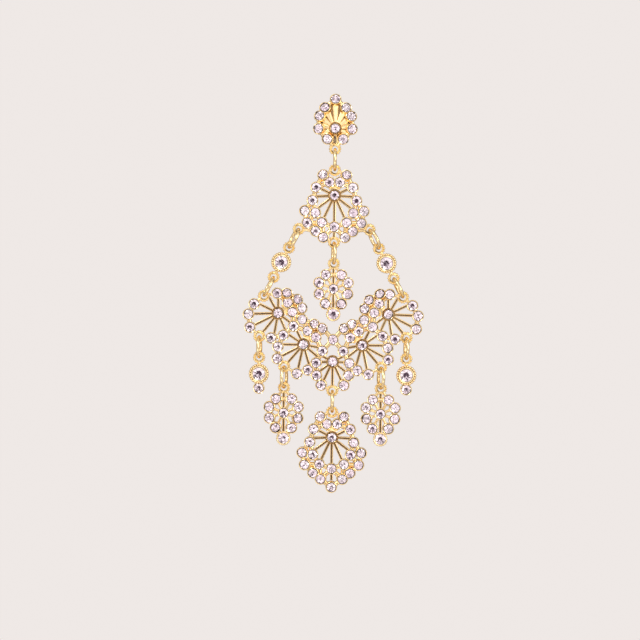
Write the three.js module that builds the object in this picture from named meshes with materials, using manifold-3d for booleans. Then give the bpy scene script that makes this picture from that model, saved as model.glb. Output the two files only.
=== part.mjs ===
// A chandelier earring: gilt castings paved with crystals in small cups, hung on one another by
// jump rings. Millimetres. The castings lie flat while they are built, with x to the right, y up
// and z towards the viewer, and the finished group is stood upright: +Z up, its front facing -Y.
// The origin is on the ear post, in the plane of the stud's back.

import * as THREE from "three";
import { mergeVertices } from "three/addons/utils/BufferGeometryUtils.js";
import Module from "manifold-3d";

const wasm = await Module();
wasm.setup();

// Cups, each holding one crystal.
const CUP_RADIUS = 1.03; // outside of a small cup
const CUP_DEPTH = 1.15; // from the back of a casting to a small cup's rim
const LEANING_CUP_DEPTH = 0.85; // the same for a cup that leans outwards
const CROWN_HEIGHT = 0.35; // how far a crystal stands above its rim
const TABLE_SHARE = 0.5; // a large crystal's flat top, as a share of its cup
const HUB_RADIUS = 1.15;
const HUB_DEPTH = 1.5;
const TIP_RADIUS = 1.25; // the cup at a leaf drop's tip
const BIG_CUP_RADIUS = 1.75;
const BIG_CUP_DEPTH = 1.7;
const CUP_SIDES = 8;
const BIG_CUP_SIDES = 12;

// Openwork between the cups.
const SHEET = 0.75; // thickness of spokes and webs
const SPOKE_WIDTH = 0.4;
const RAY_WIDTH = 0.7; // the stud's rays are broader than spokes
const BAND = { reach: 2, width: 2 }; // the solid part of a fan behind its hub
const WEB_WIDTH = 0.8;
const WEB_REACH = 2.75; // cups closer than this, centre to centre, are bridged
const SHARED_REACH = 1.6; // seats closer than this are one seat that two fans share

// Loops and the jump rings that join them.
const LOOP_RADIUS = 0.75;
const LOOP_WIRE = 0.24; // half the width of a loop's own section
const LOOP_SIDES = 12;
const LOOP_PLANE = 0.6; // height of the loops' middle over the castings' backs
const LINK_STEP = 3.7; // between the centres of two loops that one jump ring joins
const RING_WIRE = 0.3;
const RING_PLAY = 0.12; // free gap between a jump ring and each loop it carries
const RING_RADIUS = LINK_STEP / 2 - LOOP_RADIUS + LOOP_WIRE + RING_PLAY + RING_WIRE;

// Ear post, a straight wire behind the stud.
const POST_RADIUS = 0.4;
const POST_LENGTH = 11;
const POST_TIP = 0.5; // length of its blunted end

// Seats round a fan's hub: the angle from the fan's axis in degrees, and the reach from its hub.
// Every seat off the axis has a twin on the other side.
const FAN_SEATS = [
  { angle: 0, reach: 5.5 },
  { angle: 24.5, reach: 5.2 },
  { angle: 47.5, reach: 4.5 },
  { angle: 77, reach: 3.95 },
  { angle: 113.5, reach: 3.5 },
  { angle: 158.5, reach: 2.5 },
];
const TIP_LOOP_REACH = 5.1; // where a loop stands in for the seat on a fan's axis
const LEAF_LOOP_ANGLE = 4; // a leaf drop's loop is a little outside its fan's axis

// Spokes fill the fan between its hub and its seats, on both sides of the axis.
const FAN_SPOKES = [
  { angle: 0, reach: 4.9 },
  { angle: 25, reach: 4.6 },
  { angle: 53, reach: 4.0 },
  { angle: 87, reach: 3.2 },
  { angle: 117, reach: 3.1 },
];

// The stud is a smaller fan that opens upwards.
const STUD_SEATS = [
  { angle: 0, reach: 5.2 },
  { angle: 27, reach: 4.15 },
  { angle: 52, reach: 3.6 },
  { angle: 91, reach: 3.0 },
  { angle: 143, reach: 2.35 },
];
const STUD_LEAN = 22; // the stud is domed, so its seats lean outwards by these degrees
const STUD_RAYS = [
  { angle: 0, reach: 4.4 },
  { angle: 26, reach: 3.6 },
  { angle: 52, reach: 3.0 },
  { angle: 78, reach: 2.4 },
  { angle: 110, reach: 2.4 },
  { angle: 180, reach: 2.6 },
];
const STUD_LOOP = { x: 0, y: -3.55 };
const STUD_BACK = { y: 0.9, halfWidth: 3.0, halfHeight: 3.9, thickness: 0.4 };

// A shield is one fan opening downwards inside a border. The right half, from its hub. Seats
// with a tilt lean outwards by it, in degrees.
const SHIELD_BORDER = [
  { x: 2.1, y: 3.65, tilt: 25 },
  { x: 5.2, y: -2.75, tilt: 12 },
  { x: 4.75, y: -4.85, tilt: 12 },
  { x: 3.25, y: -6.3, tilt: 12 },
  { x: 1.9, y: -7.35, tilt: 12 },
];
const SHIELD_TOP_LOOP = { x: 0, y: 4.45 };
const SHIELD_FOOT_LOOP = { x: 0, y: -8.2 };
const SHIELD_SIDE_LOOP = { x: 6.2, y: -5.9 };
const SHIELD_FOOT_SEAT = { x: 0, y: -8.75, tilt: 12 };
const SHIELD_FOOT_RIB = { x: 0, y: -7.5 }; // where the short rib below the lowest seat ends

// The crescent: fans side by side round a hollow, each leaning outwards by an angle in degrees.
// The right half, from the middle fan's hub.
const CRESCENT_FANS = [
  { name: "middle", x: 0, y: 0, lean: 0 },
  { name: "inner", x: 5.13, y: 2.91, lean: 37 },
  { name: "outer", x: 9.64, y: 8.36, lean: 63 },
];
// The middle fan is smaller than the others, and has these seats of its own.
const MIDDLE_SEATS = [
  { x: 1.84, y: 1.84 },
  { x: 2.89, y: -0.26 },
  { x: 2.8, y: -2.41 },
  { x: 2.0, y: -4.16, tilt: 12 },
];
// The row of seats along its hollow edge.
const CRESCENT_EDGE = [
  { x: 0, y: 3.83, tilt: 0 },
  { x: 1.85, y: 5.85, tilt: 28 },
  { x: 3.25, y: 6.6, tilt: 28 },
  { x: 5.4, y: 7.3, tilt: 12 },
  { x: 5.42, y: 9.3, tilt: 22 },
  { x: 6.2, y: 10.85, tilt: 28 },
  { x: 8.1, y: 11.97, tilt: 28 },
];

// A leaf drop: a ring of seats round a hub, and a tip. The right half, from its hub.
const LEAF_RING = [
  { x: 1.37, y: 2.48, tilt: 8 },
  { x: 2.56, y: 1.09, tilt: 8 },
  { x: 2.5, y: -0.88, tilt: 8 },
  { x: 1.4, y: -2.6, tilt: 8 },
];
const LEAF_TIP = { x: 0, y: -4.4 };
const LEAF_LOOP = { x: 0, y: 4.45 };

// A bud drop and a link each carry one big cup, with loops in line with it.
const BUD_LOOP = { x: 0, y: 2.85 };
const BUD_TIP = { x: 0, y: -2.5 };
const LINK_LOOP_REACH = 2.9;

// Small turns of the jump rings about their own length, in degrees, as they settle.
const RING_TWIST = 6;
const LOOSE_RING_TWIST = 13;

const gilt = new THREE.MeshStandardMaterial({ color: 0xe9c583, roughness: 0.22, metalness: 1 });
const giltWire = new THREE.MeshStandardMaterial({ color: 0xf0cf8e, roughness: 0.16, metalness: 1 });

const WELD = 1e-4; // vertices closer than this are one
const SIMPLIFY = 0.01; // the most that a joined body's surface may move as it is simplified

const radians = (degrees) => THREE.MathUtils.degToRad(degrees);
const twin = ({ x, y }) => ({ x: -x, y });
const distance = (a, b) => Math.hypot(b.x - a.x, b.y - a.y);

/** Both sides of a half table: each row, and its twin where it is off the middle line. */
function bothSides(rows) {
  return rows.flatMap((row) => (row.x === 0 ? [row] : [row, { ...row, ...twin(row) }]));
}

/** The point at an angle from straight down and a reach, from a hub that leans by some degrees. */
function fanPoint(hub, lean, angle, reach) {
  const turn = radians(lean + angle);
  return { x: hub.x + reach * Math.sin(turn), y: hub.y - reach * Math.cos(turn) };
}

/** A table of angles and reaches as points round a hub, with a twin for each one off the axis. */
function fanPoints(table, hub, lean) {
  return table.flatMap(({ angle, reach }) =>
    (angle % 180 === 0 ? [angle] : [angle, -angle]).map((a) => fanPoint(hub, lean, a, reach)),
  );
}

/** A closed three.js geometry as a solid that can be joined and cut. */
function solid(geometry) {
  const bare = new THREE.BufferGeometry();
  bare.setAttribute("position", geometry.getAttribute("position"));
  if (geometry.index) bare.setIndex(geometry.index);
  const merged = mergeVertices(bare, WELD);
  return new wasm.Manifold(
    new wasm.Mesh({
      numProp: 3,
      vertProperties: merged.attributes.position.array,
      triVerts: new Uint32Array(merged.index.array),
    }),
  );
}

/** One named mesh made of all the given geometries joined into a single body. */
function fuse(name, geometries, material) {
  const sum = geometries.map(solid).reduce((whole, next) => whole.add(next));
  const joined = sum.asOriginal().simplify(SIMPLIFY);
  const { vertProperties, triVerts } = joined.getMesh();
  const geometry = new THREE.BufferGeometry();
  geometry.setAttribute("position", new THREE.BufferAttribute(vertProperties, 3));
  geometry.setIndex(new THREE.BufferAttribute(triVerts, 1));
  geometry.computeVertexNormals();
  const mesh = new THREE.Mesh(geometry, material);
  mesh.name = name;
  return mesh;
}

/** A turned form that stands on the casting's back, from pairs of radius and height. */
function turned(at, profile, sides) {
  const points = profile.map(([radius, height]) => new THREE.Vector2(radius, height));
  return new THREE.LatheGeometry(points, sides).rotateX(Math.PI / 2).translate(at.x, at.y, 0);
}

/** A small cup with its crystal, which rises to a point. */
function cup(at, radius = CUP_RADIUS, depth = CUP_DEPTH) {
  const profile = [
    [0, 0],
    [radius, 0],
    [radius, depth],
    [0, depth + CROWN_HEIGHT],
  ];
  return turned(at, profile, CUP_SIDES);
}

/** A small cup that leans away from a hub about its rim's middle, by its seat's tilt. */
function leaningCup(seat, hub) {
  const lean = radians(seat.tilt);
  const axis = new THREE.Vector3(hub.y - seat.y, seat.x - hub.x, 0).normalize();
  const rim = LEANING_CUP_DEPTH * Math.cos(lean) + CUP_RADIUS * Math.sin(lean);
  return cup({ x: 0, y: 0 }, CUP_RADIUS, LEANING_CUP_DEPTH)
    .translate(0, 0, -LEANING_CUP_DEPTH)
    .applyQuaternion(new THREE.Quaternion().setFromAxisAngle(axis, lean))
    .translate(seat.x, seat.y, rim);
}

/** The cups of all the given seats, each leaning away from the nearest of the hubs if it leans. */
function cups(seats, hubs) {
  return seats.map((seat) => {
    if (!seat.tilt) return cup(seat);
    const byReach = [...hubs].sort((a, b) => distance(seat, a) - distance(seat, b));
    return leaningCup(seat, byReach[0]);
  });
}

/** A larger cup, whose crystal has a flat table. */
function largeCup(at, radius, depth, sides) {
  const table = radius * TABLE_SHARE;
  const profile = [
    [0, 0],
    [radius, 0],
    [radius, depth],
    [table, depth + CROWN_HEIGHT],
    [0, depth + CROWN_HEIGHT],
  ];
  return turned(at, profile, sides);
}

/** A flat bar from one point to another, standing on the casting's back. */
function bar(from, to, width) {
  const length = distance(from, to);
  return new THREE.BoxGeometry(length, width, SHEET)
    .translate(length / 2, 0, SHEET / 2)
    .rotateZ(Math.atan2(to.y - from.y, to.x - from.x))
    .translate(from.x, from.y, 0);
}

/** The point on a loop's wire that faces another point. */
function onLoop(loop, towards) {
  const share = LOOP_RADIUS / distance(loop, towards);
  return { x: loop.x + (towards.x - loop.x) * share, y: loop.y + (towards.y - loop.y) * share };
}

/** A flat ring with a square section. */
function washer() {
  const [inside, outside] = [LOOP_RADIUS - LOOP_WIRE, LOOP_RADIUS + LOOP_WIRE];
  const corner = (radius, i) => {
    const turn = (2 * Math.PI * i) / LOOP_SIDES;
    return new THREE.Vector2(radius * Math.cos(turn), radius * Math.sin(turn));
  };
  const ring = (radius) => Array.from({ length: LOOP_SIDES }, (_, i) => corner(radius, i));
  const shape = new THREE.Shape(ring(outside));
  shape.holes.push(new THREE.Path(ring(inside)));
  return new THREE.ExtrudeGeometry(shape, { depth: 2 * LOOP_WIRE, bevelEnabled: false });
}

/** A loop in the casting's plane, tied to its two nearest seats. */
function loop(at, seats) {
  const nearest = [...seats].sort((a, b) => distance(at, a) - distance(at, b)).slice(0, 2);
  return [
    washer().translate(at.x, at.y, LOOP_PLANE - LOOP_WIRE),
    ...nearest.map((seat) => bar(onLoop(at, seat), seat, 2 * LOOP_WIRE)),
  ];
}

/** Bridges between all the seats that stand side by side. */
function webs(seats) {
  return seats.flatMap((seat, i) =>
    seats
      .slice(i + 1)
      .filter((other) => distance(seat, other) < WEB_REACH)
      .map((other) => bar(seat, other, WEB_WIDTH)),
  );
}

/** Thin spokes from a hub to each of some points, stopping at the wire of any loop in the way. */
function spokes(hub, points, loops = []) {
  return points.map((point) => {
    const inWay = loops.find((at) => distance(at, point) < LOOP_RADIUS);
    return bar(hub, inWay ? onLoop(inWay, hub) : point, SPOKE_WIDTH);
  });
}

/** The solid band of a fan on the far side of its hub. */
function band(hub, lean) {
  return bar(hub, fanPoint(hub, lean, 180, BAND.reach), BAND.width);
}

/** A hub's own cup, which stands a little proud of the others. */
function hubCup(at) {
  return largeCup(at, HUB_RADIUS, HUB_DEPTH, CUP_SIDES);
}

/** The straight wire behind the stud that goes through the ear lobe, its end blunted. */
function earPost() {
  const profile = [
    new THREE.Vector2(0, -POST_LENGTH),
    new THREE.Vector2(POST_RADIUS / 2, -POST_LENGTH),
    new THREE.Vector2(POST_RADIUS, POST_TIP - POST_LENGTH),
    new THREE.Vector2(POST_RADIUS, STUD_BACK.thickness / 2),
    new THREE.Vector2(0, STUD_BACK.thickness / 2),
  ];
  return new THREE.LatheGeometry(profile, CUP_SIDES).rotateX(Math.PI / 2);
}

/** The stud: a small upward fan on an oval back plate, with its post and one loop. */
function earStud() {
  const hub = { x: 0, y: 0 };
  const seats = fanPoints(STUD_SEATS, hub, 180).map((seat) => ({ ...seat, tilt: STUD_LEAN }));
  const { y, halfWidth, halfHeight, thickness } = STUD_BACK;
  const oval = new THREE.Shape().absellipse(0, y, halfWidth, halfHeight, 0, 2 * Math.PI);
  return fuse(
    "ear_stud",
    [
      new THREE.ExtrudeGeometry(oval, { depth: thickness, bevelEnabled: false, curveSegments: 16 }),
      earPost(),
      hubCup(hub),
      ...cups(seats, [hub]),
      ...fanPoints(STUD_RAYS, hub, 180).map((end) => bar(hub, end, RAY_WIDTH)),
      ...webs(seats),
      ...loop(STUD_LOOP, seats),
    ],
    gilt,
  );
}

/** A shield with its top loop, and the foot and further loops that this one has. */
function shield(name, footSeats, extraLoops) {
  const hub = { x: 0, y: 0 };
  const ring = fanPoints(FAN_SEATS, hub, 0);
  const seats = [...ring, ...bothSides(SHIELD_BORDER), ...footSeats];
  return fuse(
    name,
    [
      hubCup(hub),
      ...cups(seats, [hub]),
      ...spokes(hub, fanPoints(FAN_SPOKES, hub, 0)),
      band(hub, 0),
      bar(ring[0], SHIELD_FOOT_RIB, SPOKE_WIDTH),
      ...webs(seats),
      ...[SHIELD_TOP_LOOP, ...extraLoops].flatMap((at) => loop(at, seats)),
    ],
    gilt,
  );
}

/** Where the crescent's loops are, from its middle hub: the right half. */
function crescentLoops() {
  const [middle, inner, outer] = CRESCENT_FANS;
  return {
    link: fanPoint(outer, outer.lean, FAN_SEATS[3].angle, FAN_SEATS[3].reach),
    bud: fanPoint(outer, outer.lean, -FAN_SEATS[1].angle, FAN_SEATS[1].reach),
    leaf: fanPoint(inner, inner.lean, LEAF_LOOP_ANGLE, TIP_LOOP_REACH),
    pendant: fanPoint(middle, middle.lean, 0, TIP_LOOP_REACH),
  };
}

/** The crescent: five fans that share seats where they meet, with an edging along the hollow. */
function crescent() {
  const fans = bothSides(CRESCENT_FANS).map((fan) => ({
    ...fan,
    lean: fan.x < 0 ? -fan.lean : fan.lean,
  }));
  const loops = bothSides(Object.values(crescentLoops()));
  const clear = (points, found) => points.every((p) => distance(p, found) > SHARED_REACH);
  // Where two leaning fans meet they share a seat, and a loop takes a seat's place.
  const seats = bothSides([...CRESCENT_EDGE, ...MIDDLE_SEATS]);
  const leaning = fans.filter((fan) => fan.lean !== 0);
  for (const fan of leaning.sort((a, b) => Math.abs(b.lean) - Math.abs(a.lean)))
    for (const seat of fanPoints(FAN_SEATS, fan, fan.lean))
      if (clear(seats, seat) && clear(loops, seat)) seats.push(seat);
  const fanBars = fans.flatMap((fan) =>
    spokes(fan, fanPoints(FAN_SPOKES, fan, fan.lean), loops),
  );
  return fuse(
    "crescent",
    [
      ...fans.map(hubCup),
      ...cups(seats, fans),
      ...fanBars,
      ...leaning.map((fan) => band(fan, fan.lean)),
      ...webs(seats),
      ...loops.flatMap((at) => loop(at, seats)),
    ],
    gilt,
  );
}

/** A leaf drop: a ring of cups round a hub on fine spokes, a larger cup at its tip, a loop. */
function leafDrop(name) {
  const hub = { x: 0, y: 0 };
  const ring = bothSides(LEAF_RING);
  return fuse(
    name,
    [
      cup(hub),
      cup(LEAF_TIP, TIP_RADIUS),
      ...cups(ring, [hub]),
      ...spokes(hub, [...ring, LEAF_TIP, onLoop(LEAF_LOOP, hub)]),
      ...webs([...ring, LEAF_TIP]),
      ...loop(LEAF_LOOP, ring),
    ],
    gilt,
  );
}

/** A big cup, for a bud or a link. */
function bigCup() {
  return largeCup({ x: 0, y: 0 }, BIG_CUP_RADIUS, BIG_CUP_DEPTH, BIG_CUP_SIDES);
}

/** A bud drop: a big cup between a loop and a small cup. */
function budDrop(name) {
  return fuse(name, [bigCup(), cup(BUD_TIP), ...loop(BUD_LOOP, [{ x: 0, y: 0 }])], gilt);
}

/** A link: a big cup between two loops. */
function link(name) {
  const ends = [LINK_LOOP_REACH, -LINK_LOOP_REACH].map((y) => ({ x: 0, y }));
  return fuse(name, [bigCup(), ...ends.flatMap((at) => loop(at, [{ x: 0, y: 0 }]))], gilt);
}

/** A jump ring edge-on to the viewer, its length along y. */
function jumpRing(name, twist) {
  const ring = new THREE.TorusGeometry(RING_RADIUS, RING_WIRE, 6, 14);
  return fuse(name, [ring.rotateY(Math.PI / 2 + radians(twist))], giltWire);
}

/** Puts a mesh at a point of the flat layout, turned by an angle in its plane. */
function place(parent, mesh, at, turn = 0, height = 0) {
  mesh.position.set(at.x, at.y, height);
  mesh.rotation.z = turn;
  parent.add(mesh);
}

const plus = (a, b) => ({ x: a.x + b.x, y: a.y + b.y });
const minus = (a, b) => ({ x: a.x - b.x, y: a.y - b.y });
const along = (from, direction, length) => ({
  x: from.x + direction.x * length,
  y: from.y + direction.y * length,
});
const DOWN = { x: 0, y: -1 };

/** Hangs a casting from a loop: a jump ring below the loop, and the casting on the ring. */
function hang(parent, from, ring, casting, castingLoop) {
  place(parent, ring, along(from, DOWN, LINK_STEP / 2), 0, LOOP_PLANE);
  const at = minus(along(from, DOWN, LINK_STEP), castingLoop);
  place(parent, casting, at);
  return at;
}

/** One side's chain: ring, link, ring, in a straight line down from a loop. */
function sideChain(parent, side, from, direction) {
  const turn = Math.atan2(direction.x, -direction.y);
  const upperRing = jumpRing(`link_ring_upper_${side}`, LOOSE_RING_TWIST);
  const lowerRing = jumpRing(`link_ring_lower_${side}`, RING_TWIST);
  const linkAt = along(from, direction, LINK_STEP + LINK_LOOP_REACH);
  const lowerLoop = along(linkAt, direction, LINK_LOOP_REACH);
  place(parent, upperRing, along(from, direction, LINK_STEP / 2), turn, LOOP_PLANE);
  place(parent, link(`link_${side}`), linkAt, turn);
  place(parent, lowerRing, along(lowerLoop, direction, LINK_STEP / 2), turn, LOOP_PLANE);
}

/** The whole earring, flat: the stud, and everything that hangs from it. */
function layOut(flat) {
  place(flat, earStud(), { x: 0, y: 0 });
  const plate = shield("upper_plate", [], [
    SHIELD_FOOT_LOOP,
    SHIELD_SIDE_LOOP,
    twin(SHIELD_SIDE_LOOP),
  ]);
  const plateAt = hang(flat, STUD_LOOP, jumpRing("stud_ring", 0), plate, SHIELD_TOP_LOOP);
  const plateFoot = plus(plateAt, SHIELD_FOOT_LOOP);
  const innerRing = jumpRing("inner_drop_ring", RING_TWIST);
  hang(flat, plateFoot, innerRing, leafDrop("inner_drop"), LEAF_LOOP);

  // The side chains run straight from the plate's corners to the crescent's shoulders.
  const loops = crescentLoops();
  const corner = plus(plateAt, SHIELD_SIDE_LOOP);
  const chainLength = 2 * (LINK_STEP + LINK_LOOP_REACH);
  const spread = loops.link.x - corner.x;
  const direction = { x: spread / chainLength, y: -Math.sqrt(1 - (spread / chainLength) ** 2) };
  const shoulder = along(corner, direction, chainLength);
  const crescentAt = minus(shoulder, loops.link);
  place(flat, crescent(), crescentAt);

  for (const [side, mirror] of [["right", 1], ["left", -1]]) {
    const across = ({ x, y }) => ({ x: mirror * x, y });
    sideChain(flat, side, across(corner), across(direction));
    const budFrom = across(plus(crescentAt, loops.bud));
    const budRing = jumpRing(`bud_ring_${side}`, mirror * RING_TWIST);
    hang(flat, budFrom, budRing, budDrop(`bud_drop_${side}`), BUD_LOOP);
    const leafFrom = across(plus(crescentAt, loops.leaf));
    const leafRing = jumpRing(`leaf_ring_${side}`, mirror * LOOSE_RING_TWIST);
    hang(flat, leafFrom, leafRing, leafDrop(`leaf_drop_${side}`), LEAF_LOOP);
  }
  const pendant = shield("pendant", [SHIELD_FOOT_SEAT], []);
  const pendantFrom = plus(crescentAt, loops.pendant);
  hang(flat, pendantFrom, jumpRing("pendant_ring", 0), pendant, SHIELD_TOP_LOOP);
}

const flat = new THREE.Group();
flat.rotation.x = Math.PI / 2;
layOut(flat);

const earring = new THREE.Group();
earring.add(flat);

export default earring;
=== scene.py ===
"""A chandelier earring as it hangs: gilt openwork castings, cut crystals and jump rings.

Each casting is modelled lying flat, in millimetres from its own hub, with x to the right, y up
and its front upwards. It is then stood up to face -Y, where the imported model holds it.
"""

from __future__ import annotations

import logging
import math
import random
from collections.abc import Callable, Iterable, Sequence
from dataclasses import dataclass, field
from enum import Enum
from itertools import pairwise

import bmesh
import bpy
from mathutils import Matrix, Vector

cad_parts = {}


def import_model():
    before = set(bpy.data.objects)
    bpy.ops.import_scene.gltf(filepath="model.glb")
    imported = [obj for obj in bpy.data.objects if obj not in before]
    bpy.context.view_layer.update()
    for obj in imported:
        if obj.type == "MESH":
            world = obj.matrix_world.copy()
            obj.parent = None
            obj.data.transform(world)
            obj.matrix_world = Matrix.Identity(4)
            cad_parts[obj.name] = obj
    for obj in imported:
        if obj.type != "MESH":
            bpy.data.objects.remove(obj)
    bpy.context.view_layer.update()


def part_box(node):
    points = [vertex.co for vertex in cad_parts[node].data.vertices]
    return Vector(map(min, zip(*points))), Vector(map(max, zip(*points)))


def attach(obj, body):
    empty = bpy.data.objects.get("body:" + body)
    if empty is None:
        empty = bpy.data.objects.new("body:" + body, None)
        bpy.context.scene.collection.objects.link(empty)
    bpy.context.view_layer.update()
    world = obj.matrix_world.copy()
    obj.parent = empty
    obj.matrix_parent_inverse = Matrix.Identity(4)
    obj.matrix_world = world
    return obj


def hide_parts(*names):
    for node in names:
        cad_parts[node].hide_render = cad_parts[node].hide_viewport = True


log = logging.getLogger("earring")

MM = 0.001
WELD = 1e-4
SMOOTH_ANGLE = math.radians(35)
FACING = 0.9

Object = bpy.types.Object
Material = bpy.types.Material
Node = bpy.types.Node
Socket = bpy.types.NodeSocket
Point = tuple[float, float]
Point3 = tuple[float, float, float]
Colour = tuple[float, float, float, float]


# ---- the bench


class Bench:
    """Blender's modelling operators, used on one object at a time."""

    @staticmethod
    def clear() -> None:
        """Deselects everything."""
        bpy.ops.object.select_all(action="DESELECT")

    @staticmethod
    def hold(obj: Object) -> None:
        """Selects one object alone and makes it active.

        Args:
            obj: The object to work on.
        """
        Bench.clear()
        obj.select_set(True)
        bpy.context.view_layer.objects.active = obj

    @staticmethod
    def start(primitive: str, **values: object) -> Object:
        """Adds the primitive that a piece is shaped from.

        Args:
            primitive: Its name, such as "cube".
            values: Its sizes and place.

        Returns:
            The new object.
        """
        Bench.clear()
        getattr(bpy.ops.mesh, f"primitive_{primitive}_add")(**values)
        return bpy.context.active_object

    @staticmethod
    def settle() -> None:
        """Takes the active object's place, turn and scale into its mesh."""
        bpy.ops.object.transform_apply(location=True, rotation=True, scale=True)

    @staticmethod
    def edit(on: bool) -> None:
        """Enters or leaves edit mode."""
        bpy.ops.object.mode_set(mode="EDIT" if on else "OBJECT")

    @staticmethod
    def pick(kind: str, test: Callable[[Vector, Vector], bool]) -> None:
        """Selects the faces or edges of the mesh in edit mode that pass a test.

        Args:
            kind: "FACE" or "EDGE".
            test: Says yes or no to a face's middle and normal, or to an edge's two ends.
        """
        bpy.ops.mesh.select_all(action="DESELECT")
        bpy.ops.mesh.select_mode(type=kind)
        mesh = bpy.context.edit_object.data
        shell = bmesh.from_edit_mesh(mesh)
        if kind == "FACE":
            for face in shell.faces:
                face.select_set(test(face.calc_center_median(), face.normal))
        else:
            for edge in shell.edges:
                edge.select_set(test(edge.verts[0].co, edge.verts[1].co))
        bmesh.update_edit_mesh(mesh)

    @staticmethod
    def paint(
        obj: Object, main: Material, second: Material, test: Callable[[Vector, Vector], bool]
    ) -> None:
        """Gives an object two materials.

        Args:
            obj: The object.
            main: The material of most faces.
            second: The material of the faces that pass the test.
            test: Says yes or no to a face's middle and its normal.
        """
        obj.data.materials.append(main)
        obj.data.materials.append(second)
        for face in obj.data.polygons:
            face.material_index = int(test(face.center, face.normal))

    @staticmethod
    def lathe(profile: Sequence[Point], steps: int) -> Object:
        """Turns a profile about the upright axis into a closed form.

        Args:
            profile: Pairs of radius and height, from one end of the outline to the other.
            steps: How many flats go round.

        Returns:
            The turned object, facing outwards.
        """
        turned = Bench.start("plane", size=1)
        Bench.edit(True)
        bpy.ops.mesh.select_mode(type="VERT")
        bpy.ops.mesh.select_all(action="SELECT")
        bpy.ops.mesh.merge(type="CENTER")
        radius, height = profile[0]
        bpy.ops.transform.translate(value=(radius, 0, height))
        for (r0, z0), (r1, z1) in pairwise(profile):
            step = {"value": (r1 - r0, 0, z1 - z0)}
            bpy.ops.mesh.extrude_vertices_move(TRANSFORM_OT_translate=step)
        bpy.ops.mesh.select_all(action="SELECT")
        bpy.ops.mesh.spin(steps=steps, angle=math.tau, center=(0, 0, 0), axis=(0, 0, 1))
        bpy.ops.mesh.select_all(action="SELECT")
        bpy.ops.mesh.remove_doubles(threshold=WELD)
        bpy.ops.mesh.normals_make_consistent(inside=False)
        Bench.edit(False)
        return turned

    @staticmethod
    def copy(master: Object, place: Matrix) -> Object:
        """Copies a master, with a mesh of its own.

        Args:
            master: The object modelled once.
            place: Where the copy goes.

        Returns:
            The copy.
        """
        twin = master.copy()
        twin.data = master.data.copy()
        bpy.context.scene.collection.objects.link(twin)
        twin.matrix_world = place @ master.matrix_world
        return twin

    @staticmethod
    def join(parts: Sequence[Object], name: str, place: Matrix) -> Object:
        """Joins parts into one piece and settles it, its place in its mesh.

        Args:
            parts: The objects to join.
            name: The piece's name.
            place: What carries the joined piece from the flat to where it hangs.

        Returns:
            The finished piece, its object at the origin.
        """
        bpy.context.view_layer.update()
        Bench.hold(parts[0])
        for part in parts[1:]:
            part.select_set(True)
        if len(parts) > 1:
            bpy.ops.object.join()
        piece = bpy.context.active_object
        piece.name = name
        piece.data.name = name
        piece.matrix_world = place @ piece.matrix_world
        bpy.context.view_layer.update()
        Bench.settle()
        return piece

    @staticmethod
    def smooth(piece: Object) -> None:
        """Smooths a piece's shading across shallow edges."""
        Bench.hold(piece)
        bpy.ops.object.shade_smooth_by_angle(angle=SMOOTH_ANGLE)


# ---- finishes


class Wiring:
    """A node tree that is being built."""

    def __init__(self, tree: bpy.types.NodeTree) -> None:
        """Takes the tree to build in."""
        self.tree = tree

    def add(
        self, kind: str, sockets: dict[str | int, object] | None = None, **values: object
    ) -> Node:
        """Adds a node.

        Args:
            kind: The node's type name.
            sockets: What its inputs take, each a plain value or another node's output.
            values: Properties of the node, by name.

        Returns:
            The node.
        """
        node = self.tree.nodes.new(kind)
        for name, value in values.items():
            setattr(node, name, value)
        self.feed(node, sockets or {})
        return node

    def feed(self, node: Node, sockets: dict[str | int, object]) -> None:
        """Sets a node's inputs.

        Args:
            node: The node.
            sockets: What its inputs take, each a plain value or another node's output.
        """
        for name, value in sockets.items():
            if isinstance(value, Socket):
                self.tree.links.new(value, node.inputs[name])
            else:
                node.inputs[name].default_value = value

    def place(self, kind: str = "Object") -> Socket:
        """Adds coordinates of one kind."""
        return self.add("ShaderNodeTexCoord").outputs[kind]

    def remap(self, source: Socket, span: Point, to: tuple = (0.0, 1.0)) -> Node:
        """Stretches a value's range onto another.

        Args:
            source: The value.
            span: The lowest and highest value that it takes.
            to: What these become, each a plain value or another node's output.

        Returns:
            The node, whose result keeps within the new range.
        """
        names = ("Value", "From Min", "From Max", "To Min", "To Max")
        return self.add("ShaderNodeMapRange", dict(zip(names, (source, *span, *to))))


class SharedEffect(Enum):
    """The shader groups that several finishes share."""

    TONE = "plating_tone"
    POLISH = "hand_polish"

    def group(self) -> bpy.types.ShaderNodeTree:
        """Finds the group, or builds it the first time.

        Returns:
            The shader node group.
        """
        found = bpy.data.node_groups.get(self.value)
        if found is None:
            found = bpy.data.node_groups.new(self.value, "ShaderNodeTree")
            {SharedEffect.TONE: _wire_tone, SharedEffect.POLISH: _wire_polish}[self](found)
        return found

    def put(self, wire: Wiring, sockets: dict[str | int, object]) -> bpy.types.NodeOutputs:
        """Adds the effect to a material, and gives its outputs."""
        return wire.add("ShaderNodeGroup", sockets, node_tree=self.group()).outputs


def _edges(tree: bpy.types.NodeTree, inputs: dict[str, str], outputs: dict[str, str]) -> None:
    """Names a group's inputs and outputs.

    Args:
        tree: The group.
        inputs: The kind of each input, "Float" or "Color", by name.
        outputs: The same for the outputs.
    """
    for side, sockets in (("INPUT", inputs), ("OUTPUT", outputs)):
        for name, kind in sockets.items():
            tree.interface.new_socket(name=name, in_out=side, socket_type=f"NodeSocket{kind}")


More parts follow.
